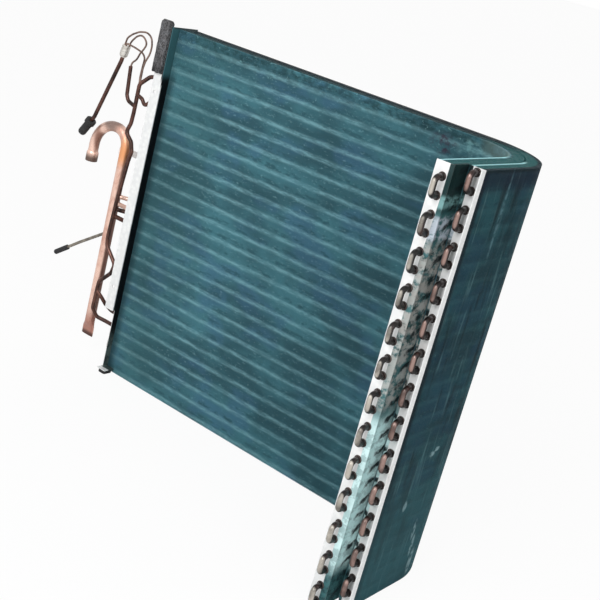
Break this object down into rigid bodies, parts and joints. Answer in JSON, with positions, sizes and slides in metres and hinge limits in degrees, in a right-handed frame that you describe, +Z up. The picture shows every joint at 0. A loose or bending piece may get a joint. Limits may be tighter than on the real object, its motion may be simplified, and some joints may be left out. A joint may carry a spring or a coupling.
{
  "type": "condenser coil",
  "caption": "L-shaped fin and tube condenser coil of two nested slabs with tube bends, end plates, gas header, liquid line and capillaries.",
  "frame": {"origin": "middle of the box's lower face, on the surface that the coil stands on", "axes": "+X along the long leg, from the header end to the corner; +Y through the long leg from the fan side to the outside; +Z up along the plates"},
  "size_m": [0.8132, 0.2744, 0.556],
  "materials": {
    "fins": "blue-green coated fin stock, satin",
    "copper": "copper tube, bright with brown tarnish",
    "galvanised": "pale galvanised sheet, satin",
    "distributor": "turned, dull",
    "rubber": "matt black",
    "foam": "dark grey cellular foam"
  },
  "bodies": {
    "root": {"inner_fin_pack": "fins", "outer_fin_pack": "fins", "inner_hairpin_bends": "copper", "outer_hairpin_bends": "copper", "inner_return_bends": "copper", "outer_return_bends": "copper", "crossover_bends": "copper", "inner_end_plate": "galvanised", "outer_end_plate": "galvanised", "header_end_plate": "galvanised", "foot_pad": "rubber", "seal_pad": "foam", "gas_header": "copper", "gas_stub_inner_low": "copper", "gas_stub_inner_high": "copper", "gas_stub_outer_low": "copper", "gas_stub_outer_high": "copper", "header_clip": "galvanised", "liquid_line": "copper", "liquid_branch_upper": "copper", "liquid_branch_lower": "copper", "drop_tube": "copper", "distributor": "distributor", "inlet_pipe": "copper", "inlet_cap": "rubber", "capillary_a": "copper", "capillary_b": "copper", "capillary_c": "copper", "process_tube": "copper", "process_cap": "rubber"}
  },
  "joints": []
}
